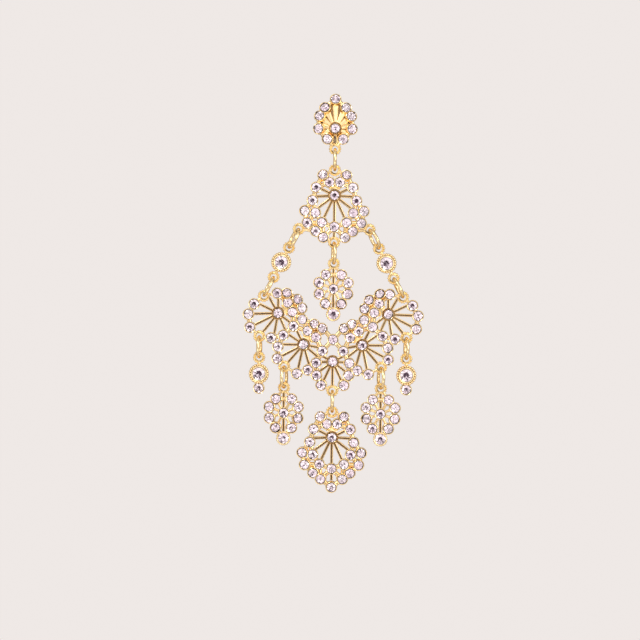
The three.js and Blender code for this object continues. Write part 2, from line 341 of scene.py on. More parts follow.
def _wire_tone(tree: bpy.types.ShaderNodeTree) -> None:
    """Wires a colour that drifts between a bright and a deep tone over the surface.

    Args:
        tree: The empty group.
    """
    _edges(tree, {"Bright": "Color", "Deep": "Color", "Grain": "Float"}, {"Color": "Color"})
    wire = Wiring(tree)
    given = wire.add("NodeGroupInput").outputs
    noise = wire.add(
        "ShaderNodeTexNoise", {"Vector": wire.place(), "Scale": given["Grain"], "Detail": 3.0}
    )
    spread = wire.remap(noise.outputs["Fac"], (0.3, 0.7))
    tones = {"Factor": spread.outputs["Result"], "A": given["Bright"], "B": given["Deep"]}
    mix = wire.add("ShaderNodeMix", tones, data_type="RGBA")
    wire.add("NodeGroupOutput", {"Color": mix.outputs["Result"]})


def _wire_polish(tree: bpy.types.ShaderNodeTree) -> None:
    """Wires the uneven gloss of a hand-polished surface, and its faint orange peel.

    Args:
        tree: The empty group.
    """
    kinds = dict.fromkeys(("Glossy", "Dull", "Grain"), "Float")
    _edges(tree, kinds, dict.fromkeys(("Roughness", "Height"), "Float"))
    wire = Wiring(tree)
    given = wire.add("NodeGroupInput").outputs
    noise = wire.add(
        "ShaderNodeTexNoise", {"Vector": wire.place(), "Scale": given["Grain"], "Detail": 2.0}
    ).outputs["Fac"]
    spread = wire.remap(noise, (0.35, 0.65), (given["Glossy"], given["Dull"]))
    wire.add("NodeGroupOutput", {"Roughness": spread.outputs["Result"], "Height": noise})


@dataclass(frozen=True)
class Finish:
    """A finish whose material is built once: two tones that drift over the surface."""

    name: str
    bright: Colour
    deep: Colour
    tone_grain: float

    def material(self) -> Material:
        """Finds the finish's material, or builds it the first time.

        Returns:
            The material.
        """
        found = bpy.data.materials.get(self.name)
        if found is not None:
            return found
        made = bpy.data.materials.new(self.name)
        made.use_nodes = True
        wire = Wiring(made.node_tree)
        shader = made.node_tree.nodes["Principled BSDF"]
        tone = SharedEffect.TONE.put(
            wire, {"Bright": self.bright, "Deep": self.deep, "Grain": self.tone_grain}
        )
        wire.feed(shader, {"Base Color": tone["Color"]})
        self.dress(wire, shader)
        return made

    def dress(self, wire: Wiring, shader: Node) -> None:
        """Sets what this finish has besides its tones.

        Args:
            wire: The material's wiring.
            shader: The material's Principled BSDF.
        """
        raise NotImplementedError


@dataclass(frozen=True)
class FoilFinish(Finish):
    """The mirrored backing on a crystal's lower facets."""

    name: str = "mirror_foil"
    bright: Colour = (0.96, 0.93, 0.95, 1.0)
    deep: Colour = (0.9, 0.82, 0.87, 1.0)
    tone_grain: float = 900.0
    polish_grain: float = 900.0
    glossy: float = 0.02
    dull: float = 0.07

    def dress(self, wire: Wiring, shader: Node) -> None:
        """Makes it metal, unevenly polished."""
        self.polish(wire, shader)

    def polish(self, wire: Wiring, shader: Node) -> Socket:
        """Makes the shader a polished metal.

        Args:
            wire: The material's wiring.
            shader: The material's Principled BSDF.

        Returns:
            The height of the polish.
        """
        polish = SharedEffect.POLISH.put(
            wire, {"Glossy": self.glossy, "Dull": self.dull, "Grain": self.polish_grain}
        )
        wire.feed(shader, {"Metallic": 1.0, "Roughness": polish["Roughness"]})
        return polish["Height"]


@dataclass(frozen=True)
class GiltFinish(FoilFinish):
    """Polished gold plate over a cast or drawn metal."""

    glossy: float = 0.1
    dull: float = 0.24
    tone_grain: float = 260.0
    polish_grain: float = 1500.0
    peel: float = 0.00002
    peel_strength: float = 0.5

    def dress(self, wire: Wiring, shader: Node) -> None:
        """Makes it metal, unevenly polished, with a faint orange peel.

        Args:
            wire: The material's wiring.
            shader: The material's Principled BSDF.
        """
        height = self.polish(wire, shader)
        bump = wire.add(
            "ShaderNodeBump",
            {"Height": height, "Distance": self.peel, "Strength": self.peel_strength},
        )
        wire.feed(shader, {"Normal": bump.outputs["Normal"]})


@dataclass(frozen=True)
class CrystalFinish(Finish):
    """Clear cut glass, faintly tinted."""

    name: str = "clear_crystal"
    bright: Colour = (1.0, 0.98, 0.98, 1.0)
    deep: Colour = (0.975, 0.935, 0.96, 1.0)
    tone_grain: float = 420.0
    ior: float = 1.6

    def dress(self, wire: Wiring, shader: Node) -> None:
        """Makes it smooth clear glass."""
        wire.feed(shader, {"Transmission Weight": 1.0, "IOR": self.ior, "Roughness": 0.0})


PALE_GILT = GiltFinish(
    "pale_gilt", bright=(1.0, 0.81, 0.46, 1.0), deep=(0.98, 0.71, 0.36, 1.0)
)
RICH_GILT = GiltFinish(
    "rich_gilt", bright=(1.0, 0.79, 0.4, 1.0), deep=(0.97, 0.69, 0.3, 1.0), dull=0.2
)
# Painted shade: a dark brown gilt laid in the cups' wells, grooves and bead shelves, in the spokes'
# grooves and on the stud plate's front. It stands for the shade in these hollows and between parts.
PAINTED_SHADE_GILT = GiltFinish(
    "painted_shade_gilt",
    bright=(0.5, 0.33, 0.16, 1.0),
    deep=(0.3, 0.18, 0.08, 1.0),
    glossy=0.25,
    dull=0.4,
)
WIRE_GILT = GiltFinish(
    "wire_gilt",
    bright=(1.0, 0.83, 0.5, 1.0),
    deep=(0.98, 0.74, 0.39, 1.0),
    glossy=0.06,
    dull=0.14,
)


# ---- small parts


@dataclass(frozen=True)
class Seat:
    """Where one cup stands in a casting, and how far it leans away from a hub."""

    x: float
    y: float
    tilt: float = 0.0

    def twin(self) -> Seat:
        """The seat on the other side of the middle line."""
        return Seat(-self.x, self.y, self.tilt)

    def reach(self, other: Seat) -> float:
        """The distance to another seat."""
        return math.hypot(self.x - other.x, self.y - other.y)


def both_sides(seats: Iterable[Seat]) -> list[Seat]:
    """Adds to each seat off the middle line its twin on the other side."""
    return [s for seat in seats for s in ([seat] if seat.x == 0 else [seat, seat.twin()])]


def polar(hub: Seat, angle: float, reach: float) -> Seat:
    """A seat round a hub, at an angle in degrees from straight down."""
    turn = math.radians(angle)
    return Seat(hub.x + reach * math.sin(turn), hub.y - reach * math.cos(turn))


def fan_round(table: Iterable[Point], hub: Seat, lean: float) -> list[Seat]:
    """Lays a table of angles and reaches round a hub, on both sides of its axis.

    Args:
        table: Pairs of an angle in degrees from the axis, and a reach.
        hub: The middle of the fan.
        lean: How far the axis is turned from straight down, in degrees.

    Returns:
        The places.
    """
    return [
        polar(hub, lean + turn, reach)
        for angle, reach in table
        for turn in ([0.0] if angle == 0 else [angle, -angle])
    ]


@dataclass(frozen=True)
class Crystal:
    """A round cut crystal with a mirrored back, its girdle at height zero."""

    radius: float
    table_share: float = 0.52
    crown: float = 0.36
    pavilion: float = 0.91
    girdle: float = 0.05
    sides: int = 8

    def master(self) -> Object:
        """Cuts the crystal: a table and triangles above the girdle, long facets below.

        Returns:
            The master crystal.
        """
        stone = Bench.start(
            "cylinder", vertices=self.sides, radius=self.radius, depth=self.girdle * self.radius
        )
        Bench.edit(True)
        Bench.pick("FACE", lambda middle, normal: normal.z > FACING)
        rise = {"value": (0, 0, self.crown * self.radius)}
        bpy.ops.mesh.extrude_region_move(TRANSFORM_OT_translate=rise)
        bpy.ops.transform.resize(value=(self.table_share, self.table_share, 1))
        half_step = math.pi / self.sides
        bpy.ops.transform.rotate(
            value=half_step, orient_axis="Z", center_override=(0, 0, 0), orient_type="GLOBAL"
        )
        Bench.pick("FACE", lambda middle, normal: normal.z < -FACING)
        drop = {"value": (0, 0, -self.pavilion * self.radius)}
        bpy.ops.mesh.extrude_region_move(TRANSFORM_OT_translate=drop)
        bpy.ops.mesh.merge(type="CENTER")
        Bench.pick("FACE", lambda middle, normal: normal.z < 0.95)
        bpy.ops.mesh.quads_convert_to_tris(quad_method="SHORTEST_DIAGONAL")
        bpy.ops.mesh.select_all(action="SELECT")
        bpy.ops.mesh.normals_make_consistent(inside=False)
        Bench.edit(False)
        under = -self.girdle * self.radius / 2
        glass, foil = CrystalFinish().material(), FoilFinish().material()
        Bench.paint(stone, glass, foil, lambda middle, normal: middle.z < under)
        return stone


class Rim(Enum):
    """How a cup's rim is finished."""

    PLAIN = "plain"
    GROOVED = "grooved"
    BEADED = "beaded"


@dataclass(frozen=True)
class Cup:
    """A turned cup that holds one crystal. Its rim's middle is at height zero."""

    radius: float
    depth: float
    stone: float
    rim: Rim = Rim.PLAIN
    steps: int = 22
    chamfer: float = 0.07
    well: float = 0.94
    ease: float = 1.08
    rock: float = 8.0
    beads: int = 24
    bead: float = 0.2
    lip: float = 0.12
    groove: float = 0.2
    taper: float = 0.9
    point_room: float = 0.06
    least_floor: float = 0.05

    @property
    def well_radius(self) -> float:
        """The radius of the well's mouth, a little wider than the crystal."""
        return self.stone * self.ease

    def profile(self) -> list[Point]:
        """The cup's outline from under its middle, up and over the rim, down into its well.

        Returns:
            Pairs of radius and height.
        """
        outer, inner, low, edge = self.radius, self.well_radius, -self.depth, self.chamfer
        floor = max(-self.well * self.stone - self.point_room, low + self.least_floor)
        start = [(0, low), (outer, low), (outer, -2 * edge), (outer - 0.3 * edge, -0.6 * edge)]
        well = [(inner, -0.5 * edge), (inner * self.taper, floor), (0, floor)]
        if self.rim is Rim.PLAIN:
            return [*start, ((outer + inner) / 2, 0), *well]
        lip, deep = inner + self.lip, -self.groove
        if self.rim is Rim.GROOVED:
            groove = [(lip + 0.11, deep), (lip + 0.01, deep), (lip - 0.02, -0.04), (lip - 0.06, 0)]
            return [*start, (outer - 0.06, 0), *groove, *well]
        shelf = -self.bead
        return [
            (0, low),
            (outer * self.taper, low),
            (outer - 0.06, shelf - 0.25),
            (outer - 0.14, shelf - 0.05),
            (outer - 0.4, shelf + 0.02),
            (lip + 0.1, -0.04),
            (lip - 0.03, 0),
            *well,
        ]

    def master(self) -> list[Object]:
        """Turns the cup, and sets its beads where it has them.

        Returns:
            The parts of the master cup.
        """
        body = Bench.lathe(self.profile(), self.steps)
        gilt, shade = PALE_GILT.material(), PAINTED_SHADE_GILT.material()
        # Faces in the well, in the groove and on the shelf between the beads get painted shade.
        Bench.paint(body, gilt, shade, lambda middle, normal: self.gets_painted_shade(middle))
        if self.rim is not Rim.BEADED:
            return [body]
        ring = self.radius - self.bead * self.taper
        return [body, *bead_ring(ring, self.bead, self.beads, -self.bead, PALE_GILT)]

    def gets_painted_shade(self, spot: Vector) -> bool:
        """Tells the sunk places, which get painted shade, from the raised ones.

        Args:
            spot: A place on the cup.

        Returns:
            Whether it is in the well, in the groove or between the beads.
        """
        reach = math.hypot(spot.x, spot.y)
        in_well = reach < self.well_radius and spot.z > WELD - self.depth
        in_groove = reach < self.radius - 0.08 and -1.25 < spot.z / self.groove < -0.5
        on_shelf = -self.bead - 0.2 < spot.z < 0.02 - self.bead / 2
        sunk = {Rim.PLAIN: False, Rim.GROOVED: in_groove, Rim.BEADED: on_shelf}
        return in_well or sunk[self.rim]


def bead_ring(
    radius: float, bead: float, count: int, height: float, finish: GiltFinish
) -> list[Object]:
    """Sets a ring of small beads.

    Args:
        radius: The ring's radius.
        bead: One bead's radius.
        count: How many beads.
        height: The height of their middles.
        finish: Their finish.

    Returns:
        The beads.
    """
    spot = (radius, 0, height)
    first = Bench.start("uv_sphere", segments=10, ring_count=6, radius=bead, location=spot)
    Bench.edit(True)
    bpy.ops.mesh.select_all(action="SELECT")
    bpy.ops.mesh.bisect(
        plane_co=(radius, 0, height - bead * 0.5),
        plane_no=(0, 0, 1),
        clear_inner=True,
        use_fill=True,
    )
    Bench.edit(False)
    first.data.materials.append(finish.material())
    turn = math.tau / count
    return [first, *(Bench.copy(first, Matrix.Rotation(turn * i, 4, "Z")) for i in range(1, count))]


@dataclass(frozen=True)
class Bar:
    """A rib one millimetre long that is stretched between two points, rounded on top."""

    width: float
    height: float = 0.75
    flare: float = 1.0
    fall: float = 1.0
    round_share: float = 0.42
    groove: float = 0.0
    groove_depth: float = 0.22

    def master(self) -> Object:
        """Models the rib, lying along x from zero.

        Returns:
            The master rib.
        """
        rib = Bench.start("cube", size=1)
        rib.scale = (1, self.width, self.height)
        rib.location = (0.5, 0, self.height / 2 + BACK_STEP)
        Bench.settle()
        Bench.edit(True)
        Bench.pick("FACE", lambda middle, normal: normal.x > FACING)
        bpy.ops.transform.resize(value=(1, self.flare, self.fall), center_override=(1, 0, 0))
        if self.groove:
            self.sink_groove()
        edge = self.width * 0.45
        Bench.pick(
            "EDGE",
            lambda a, b: abs(a.x - b.x) > 0.5
            and min(a.z, b.z) > self.height * 0.3
            and min(abs(a.y), abs(b.y)) > edge,
        )
        bpy.ops.mesh.bevel(offset=self.width * self.round_share, segments=3, affect="EDGES")
        Bench.edit(False)
        gilt, shade = PALE_GILT.material(), PAINTED_SHADE_GILT.material()
        half = self.groove / 2
        # Faces in the top groove get painted shade, which reads as a dark line along the rib.
        Bench.paint(
            rib, gilt, shade, lambda middle, normal: abs(middle.y) < half and normal.z > 0.1
        )
        return rib

    def sink_groove(self) -> None:
        """Sinks a groove along the top of the rib that is being edited."""
        half, floor = self.groove / 2, self.groove * 0.3
        for y in (-half, -floor, floor, half):
            bpy.ops.mesh.select_all(action="SELECT")
            bpy.ops.mesh.bisect(plane_co=(0, y, 0), plane_no=(0, 1, 0))
        Bench.pick("FACE", lambda middle, normal: normal.z > FACING and abs(middle.y) < floor)
        bpy.ops.transform.translate(value=(0, 0, -self.groove_depth))

    @staticmethod
    def span(start: Seat, end: Seat) -> Matrix:
        """What lays the master from one place to another."""
        turn = math.atan2(end.y - start.y, end.x - start.x)
        place = Matrix.Translation((start.x, start.y, 0)) @ Matrix.Rotation(turn, 4, "Z")
        return place @ Matrix.Diagonal((start.reach(end), 1, 1, 1))


@dataclass(frozen=True)
class Loop:
    """A cast loop lying in its casting's plane, with a beaded edge and a raised lip."""

    radius: float = 0.75
    half_width: float = 0.24
    height: float = 0.6
    below: float = 0.26
    above: float = 0.12
    steps: int = 24
    beads: int = 14
    bead: float = 0.17

    def master(self) -> list[Object]:
        """Models the loop round its own middle.

        Returns:
            The parts of the master loop.
        """
        inner, outer = self.radius - self.half_width, self.radius + self.half_width
        low, top = self.height - self.below, self.height + self.above
        profile = [
            (inner + 0.05, low),
            (outer - 0.08, low),
            (outer - 0.02, low + 0.1),
            (outer - 0.06, top - 0.08),
            (outer - 0.16, top),
            (inner + 0.19, top - 0.04),
            (inner + 0.15, top + 0.1),
            (inner + 0.05, top + 0.12),
            (inner, top + 0.02),
            (inner, low + 0.08),
            (inner + 0.05, low),
        ]
        ring = Bench.lathe(profile, self.steps)
        ring.data.materials.append(RICH_GILT.material())
        edge = bead_ring(outer - 0.05, self.bead, self.beads, top - 0.1, RICH_GILT)
        return [ring, *edge]


@dataclass(frozen=True)
class JumpRing:
    """A jump ring of round wire, cut through at the top back, seen edge-on."""

    node: str
    body: str
    radius: float = 1.76
    wire: float = 0.3
    twist: float = 0.0
    turn: float = 0.0
    cut: float = 0.05
    cut_turn: float = 20.0

    def build(self) -> list[Object]:
        """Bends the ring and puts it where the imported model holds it.

        Returns:
            The finished ring.
        """
        sizes = {"major_radius": self.radius, "minor_radius": self.wire}
        ring = Bench.start("torus", major_segments=48, minor_segments=14, **sizes)
        Bench.edit(True)
        for side in (1, -1):
            bpy.ops.mesh.select_all(action="DESELECT")
            Bench.pick("FACE", lambda middle, normal: middle.x > 0)
            bpy.ops.mesh.bisect(plane_co=(0, side * self.cut / 2, 0), plane_no=(0, 1, 0))
        gap = self.cut * 0.49
        Bench.pick("FACE", lambda middle, normal: middle.x > 0 and abs(middle.y) < gap)
        bpy.ops.mesh.delete(type="FACE")
        bpy.ops.mesh.select_mode(type="EDGE")
        bpy.ops.mesh.select_all(action="DESELECT")
        bpy.ops.mesh.select_non_manifold()
        bpy.ops.mesh.edge_face_add()
        Bench.edit(False)
        ring.data.materials.append(WIRE_GILT.material())
        # The cut starts on +x and ends up at the ring's back, below a loop.
        ring.matrix_world = (
            Matrix.Rotation(self.turn, 4, "Z")
            @ Matrix.Rotation(math.pi / 2 + math.radians(self.twist), 4, "Y")
            @ Matrix.Rotation(math.radians(self.cut_turn), 4, "Z")
        )
        low, high = (Vector(corner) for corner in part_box(self.node))
        piece = Bench.join([ring], f"{self.node}_wire", stand_at((low + high) / 2))
        Bench.smooth(piece)
        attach(piece, self.body)
        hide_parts(self.node)
        return [piece]


def stand_at(spot: Vector, turn: float = 0.0) -> Matrix:
    """What stands a flat piece in millimetres up, turned in its plane first, at its place."""
    upright = Matrix.Rotation(math.pi / 2, 4, "X") @ Matrix.Rotation(turn, 4, "Z")
    return Matrix.Translation(spot) @ upright @ Matrix.Scale(MM, 4)


# ---- castings


CUP_RADIUS = 1.03
CUP_DEPTH = 1.15
LEANING_DEPTH = 0.85
STONE = 0.81
WEB_REACH = 2.75
RIB_BITE = 0.12
RIB_STEP = 0.05
BACK_STEP = 0.04
LOOP_WIRE = 0.75
LOOP_EDGE = 0.99


class Setting(Enum):
    """The sizes of cup, each with its crystal."""

    SMALL = Cup(radius=CUP_RADIUS, depth=CUP_DEPTH, stone=STONE)
    LEANING = Cup(radius=CUP_RADIUS, depth=LEANING_DEPTH, stone=STONE)
    HUB = Cup(radius=1.15, depth=1.5, stone=0.79, rim=Rim.GROOVED, steps=24)
    TIP = Cup(
        1.27, CUP_DEPTH, stone=0.95, rim=Rim.BEADED, beads=18, bead=0.18, ease=1.0, rock=3.0
    )
    BIG = Cup(
        1.77, 1.7, stone=1.14, rim=Rim.BEADED, steps=32, beads=22, bead=0.24, ease=1.0, rock=2.0
    )


class Stock:
    """The masters that every casting is put together from."""

    def __init__(self) -> None:
        """Models each master once, out of sight."""
        self.rng = random.Random(7)
        self.cups = {kind: kind.value.master() for kind in Setting}
        self.crystals = {kind: Crystal(kind.value.stone).master() for kind in Setting}
        self.spoke = Bar(width=0.52, round_share=0.2, groove=0.24).master()
        self.web = Bar(width=0.8).master()
        self.tie = Bar(width=0.48).master()
        self.rib = Bar(width=0.44).master()
        self.ray = Bar(width=0.52, height=1.0, flare=2.2, fall=0.65, round_share=0.25).master()
        self.band = Bar(width=2.0, height=0.9, fall=0.7, round_share=0.1).master()
        self.loop = Loop().master()

    def masters(self) -> list[Object]:
        """Every master object."""
        bars = [self.spoke, self.web, self.tie, self.rib, self.ray, self.band]
        cups = [part for parts in self.cups.values() for part in parts]
        return [*bars, *self.loop, *self.crystals.values(), *cups]

    def put_away(self) -> None:
        """Removes the masters once all castings have their copies."""
        for master in self.masters():
            bpy.data.objects.remove(master)


@dataclass
class Casting:
    """One soldered casting: cups on a web of ribs, and loops to hang by."""

    node: str
    body: str
    stock: Stock
    metal: list[Object] = field(default_factory=list)
    stones: list[Object] = field(default_factory=list)
    walls: list[tuple[Seat, float]] = field(default_factory=list)

    def set_cup(self, kind: Setting, seat: Seat, hub: Seat | None = None) -> None:
        """Puts a cup and its crystal on a seat.

        Args:
            kind: The size of cup.
            seat: Where it stands.
            hub: What it leans away from, if it leans.
        """
        cup = kind.value
        lean, height, axis = 0.0, cup.depth, Vector((1, 0, 0))
        if hub is not None:
            lean = math.radians(seat.tilt)
            height = cup.depth * math.cos(lean) + cup.radius * math.sin(lean)
            axis = Vector((hub.y - seat.y, seat.x - hub.x, 0)).normalized()
        height += self.uneven()
        place = Matrix.Translation((seat.x, seat.y, height)) @ Matrix.Rotation(lean, 4, axis)
        spin = Matrix.Rotation(self.stock.rng.uniform(0, math.tau), 4, "Z")
        self.metal += [Bench.copy(part, place) for part in self.stock.cups[kind]]
        self.walls.append((seat, cup.radius - RIB_BITE))
        rock = Matrix.Rotation(math.radians(self.stock.rng.gauss(0, cup.rock)), 4, "X")
        sink = Matrix.Translation((0, 0, -0.02))
        master = self.stock.crystals[kind]
        self.stones.append(Bench.copy(master, place @ sink @ spin @ rock))

    def set_cups(self, seats: Iterable[Seat], hubs: Sequence[Seat]) -> None:
        """Puts a small cup on each seat, leaning away from the nearest hub where it leans.

        Args:
            seats: Where they stand.
            hubs: What they may lean away from.
        """
        for seat in seats:
            nearest = min(hubs, key=seat.reach)
            if seat.tilt:
                self.set_cup(Setting.LEANING, seat, nearest)
            else:
                self.set_cup(Setting.SMALL, seat)

    def uneven(self) -> float:
        """A hair's breadth of height, so that no two parts of a casting are level."""
        return self.stock.rng.uniform(0, BACK_STEP)

    def outside(self, start: Seat, end: Seat) -> Seat:
        """Moves a rib's start along it, out of the cups it would run under.

        Args:
            start: The end that is moved.
            end: The end that it moves towards.

        Returns:
            The first place that is clear of every cup's well.
        """
        steps = max(1, round(start.reach(end) / RIB_STEP))
        for i in range(steps):
            share = i / steps
            spot = Seat(start.x + (end.x - start.x) * share, start.y + (end.y - start.y) * share)
            if all(seat.reach(spot) >= clear for seat, clear in self.walls):
                return spot
        return end

    def lay(self, master: Object, pairs: Iterable[tuple[Seat, Seat]]) -> None:
        """Lays a rib between the two places of each pair, up to the cups' walls.

        Args:
            master: The rib to copy.
            pairs: The places it runs between.
        """
        for start, end in pairs:
            first, last = self.outside(start, end), self.outside(end, start)
            if first.reach(last) > RIB_STEP and first.reach(end) > last.reach(end):
                lift = Matrix.Translation((0, 0, self.uneven()))
                self.metal.append(Bench.copy(master, lift @ Bar.span(first, last)))

    def web(self, seats: Sequence[Seat]) -> None:
        """Bridges all the seats that stand side by side."""
        near = (
            (a, b) for i, a in enumerate(seats) for b in seats[i + 1 :] if a.reach(b) < WEB_REACH
        )
        self.lay(self.stock.web, near)

    def spread(self, hub: Seat, ends: Iterable[Seat], loops: Sequence[Seat] = ()) -> None:
        """Lays spokes from a hub, each stopping at the wire of any loop in its way.

        Args:
            hub: Where they start.
            ends: Where they run to.
            loops: The loops that may be in the way.
        """
        for end in ends:
            stop = next((at for at in loops if at.reach(end) < LOOP_WIRE), None)
            self.lay(self.stock.spoke, [(hub, self.on_loop(stop, hub) if stop else end)])

    @staticmethod
    def on_loop(loop: Seat, towards: Seat) -> Seat:
        """The point of a loop's wire that faces another place."""
        share = LOOP_WIRE / loop.reach(towards)
        return Seat(loop.x + (towards.x - loop.x) * share, loop.y + (towards.y - loop.y) * share)

    def hang_loop(self, at: Seat, seats: Sequence[Seat]) -> None:
        """Sets a loop, tied to its two nearest seats.

        Args:
            at: The loop's middle.
            seats: The seats it may be tied to.
        """
        spot = Matrix.Translation((at.x, at.y, 0))
        self.metal += [Bench.copy(part, spot) for part in self.stock.loop]
        nearest = sorted(seats, key=at.reach)[:2]
        self.lay(self.stock.tie, [(self.on_loop(at, seat), seat) for seat in nearest])

    def finish(self, spot: Vector, turn: float = 0.0) -> list[Object]:
        """Joins the casting and its crystals, and hangs them in place.

        Args:
            spot: Where the casting's hub goes.
            turn: How far it is turned in its plane, in radians.

        Returns:
            The casting and its crystals.
        """
        place = stand_at(spot, turn)
        casting = Bench.join(self.metal, f"{self.node}_casting", place)
        Bench.smooth(casting)
        crystals = Bench.join(self.stones, f"{self.node}_crystals", place)
        for piece in (casting, crystals):
            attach(piece, self.body)
        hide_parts(self.node)
        return [casting, crystals]


HUB = Seat(0, 0)
FAN_SEATS = ((0, 5.5), (24.5, 5.2), (47.5, 4.5), (77, 3.95), (113.5, 3.5), (158.5, 2.5))
FAN_SPOKES = ((0, 4.9), (25, 4.6), (53, 4.0), (87, 3.2), (117, 3.1))


def box_of(node: str) -> tuple[Vector, Vector, float]:
    """A node's low corner, its high corner and its middle across."""
    low, high = (Vector(corner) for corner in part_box(node))
    return low, high, (low.x + high.x) / 2


def hung_by_top(node: str, loop: float) -> Vector:
    """The hub of a casting whose top is a loop this many millimetres above the hub."""
    _, high, middle = box_of(node)
    return Vector((middle, 0, high.z - (loop + LOOP_EDGE) * MM))


@dataclass
class Stud(Casting):
    """The stud: a domed upward fan on an oval plate, with the ear post behind it."""

    seats: tuple[Point, ...] = ((0, 5.2), (27, 4.15), (52, 3.6), (91, 3.0), (143, 2.35))
    rays: tuple[Point, ...] = ((0, 4.4), (26, 3.6), (52, 3.0), (78, 2.4), (110, 2.4), (180, 2.6))
    lean: float = 22.0
    loop: Seat = Seat(0, -3.55)
    plate_middle: float = 0.9
    plate_half: Point = (3.0, 3.9)
    plate_thickness: float = 0.4
    post_radius: float = 0.4
    post_length: float = 11.0

    def back_plate(self) -> Object:
        """Models the oval plate, its faces inset from their edge.

        Returns:
            The plate.
        """
        plate = Bench.start("cylinder", vertices=48, radius=1, depth=self.plate_thickness)
        plate.scale = (*self.plate_half, 1)
        plate.location = (0, self.plate_middle, self.plate_thickness / 2)
        Bench.settle()
        Bench.edit(True)
        Bench.pick("FACE", lambda middle, normal: abs(normal.z) > FACING)
        bpy.ops.mesh.inset(thickness=0.12)
        Bench.edit(False)
        gilt, shade = PALE_GILT.material(), PAINTED_SHADE_GILT.material()
        # The whole front face gets painted shade, which shows dark between the rays.
        Bench.paint(plate, gilt, shade, lambda middle, normal: normal.z > FACING)
        return plate

    def post(self) -> Object:
        """Models the ear post: a straight wire with a friction groove and a blunted end.

        Returns:
            The post.
        """
        r, end = self.post_radius, -self.post_length
        tip = [(0, end), (r * 0.5, end), (r * 0.85, end + 0.18), (r, end + 0.5)]
        neck = [(r, 1.9), (r * 0.8, 2.1), (r * 0.8, 2.5), (r, 2.7)]
        collar = [(r, -0.3), (r * 1.6, 0.0), (r * 1.6, 0.2), (0, 0.2)]
        post = Bench.lathe([*tip, *((x, end + up) for x, up in neck), *collar], 20)
        post.data.materials.append(WIRE_GILT.material())
        return post

    def build(self) -> list[Object]:
        """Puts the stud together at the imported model's origin.

        Returns:
            The stud's pieces.
        """
        plain = fan_round(self.seats, HUB, 180)
        seats = [Seat(seat.x, seat.y, self.lean) for seat in plain]
        self.metal += [self.back_plate(), self.post()]
        self.set_cup(Setting.HUB, HUB)
        self.set_cups(seats, [HUB])
        self.lay(self.stock.ray, [(HUB, ray) for ray in fan_round(self.rays, HUB, 180)])
        self.web(seats)
        self.hang_loop(self.loop, seats)
        return self.finish(Vector((0, 0, 0)))


@dataclass
class Shield(Casting):
    """A shield: one downward fan inside a border of cups."""

    top_loop: Seat = Seat(0, 4.45)
    border: tuple[Seat, ...] = (
        Seat(2.1, 3.65, 25),
        Seat(5.2, -2.75, 12),
        Seat(4.75, -4.85, 12),
        Seat(3.25, -6.3, 12),
        Seat(1.9, -7.35, 12),
    )
    foot_rib: Seat = Seat(0, -7.5)
    foot_seats: tuple[Seat, ...] = ()
    other_loops: tuple[Seat, ...] = ()

    def build(self) -> list[Object]:
        """Puts the shield together below its top loop.

        Returns:
            The shield's pieces.
        """
        ring = fan_round(FAN_SEATS, HUB, 0)
        seats = [*ring, *both_sides(self.border), *self.foot_seats]
        self.set_cup(Setting.HUB, HUB)
        self.set_cups(seats, [HUB])
        self.spread(HUB, fan_round(FAN_SPOKES, HUB, 0))
        self.lay(self.stock.band, [(HUB, Seat(0, 2))])
        self.lay(self.stock.spoke, [(ring[0], self.foot_rib)])
        self.web(seats)
        for loop in (self.top_loop, *self.other_loops):
            self.hang_loop(loop, seats)
        return self.finish(hung_by_top(self.node, self.top_loop.y))


@dataclass
class Crescent(Casting):
    """The crescent: five fans side by side round a hollow, with an edging along it."""

    fans: tuple[Seat, ...] = (Seat(0, 0, 0), Seat(5.13, 2.91, 37), Seat(9.64, 8.36, 63))
    edge: tuple[Seat, ...] = (
        Seat(0, 3.83),
        Seat(1.85, 5.85, 28),
        Seat(3.25, 6.6, 28),
        Seat(5.4, 7.3, 12),
        Seat(5.42, 9.3, 22),
        Seat(6.2, 10.85, 28),
        Seat(8.1, 11.97, 28),
    )
    middle_seats: tuple[Seat, ...] = (
        Seat(1.84, 1.84),
        Seat(2.89, -0.26),
        Seat(2.8, -2.41),
        Seat(2.0, -4.16, 12),
    )
    shared: float = 1.6
    loop_reach: float = 5.1
    leaf_angle: float = 4.0

    def loops(self) -> list[Seat]:
        """The loops, from the middle hub.

        Returns:
            The pendant's loop, and those of the links, buds and leaves on both sides.
        """
        middle, inner, outer = self.fans
        link = polar(outer, outer.tilt + FAN_SEATS[3][0], FAN_SEATS[3][1])
        bud = polar(outer, outer.tilt - FAN_SEATS[1][0], FAN_SEATS[1][1])
        leaf = polar(inner, inner.tilt + self.leaf_angle, self.loop_reach)
        return both_sides([polar(middle, 0, self.loop_reach), link, bud, leaf])

    def seats(self, loops: Sequence[Seat]) -> list[Seat]:
        """All the seats, where fans that meet share one and a loop takes one's place.

        Args:
            loops: The crescent's loops.

        Returns:
            The seats.
        """
        found = both_sides([*self.edge, *self.middle_seats])
        for fan in reversed(self.fans[1:]):
            for side in (1, -1):
                hub = Seat(side * fan.x, fan.y)
                for seat in fan_round(FAN_SEATS, hub, side * fan.tilt):
                    if all(seat.reach(other) > self.shared for other in [*found, *loops]):
                        found.append(seat)
        return found

    def build(self) -> list[Object]:
        """Puts the crescent together above its pendant's loop.

        Returns:
            The crescent's pieces.
        """
        loops = self.loops()
        seats = self.seats(loops)
        hubs = [
            (Seat(side * fan.x, fan.y), side * fan.tilt)
            for fan in self.fans
            for side in ((1, -1) if fan.x else (1,))
        ]
        for hub, _ in hubs:
            self.set_cup(Setting.HUB, hub)
        self.set_cups(seats, [hub for hub, _ in hubs])
        for hub, lean in hubs:
            self.spread(hub, fan_round(FAN_SPOKES, hub, lean), loops)
            if lean:
                self.lay(self.stock.band, [(hub, polar(hub, lean + 180, 2))])
        self.web(seats)
        for loop in loops:
            self.hang_loop(loop, seats)
        low, _, middle = box_of(self.node)
        return self.finish(Vector((middle, 0, low.z + (self.loop_reach + LOOP_EDGE) * MM)))


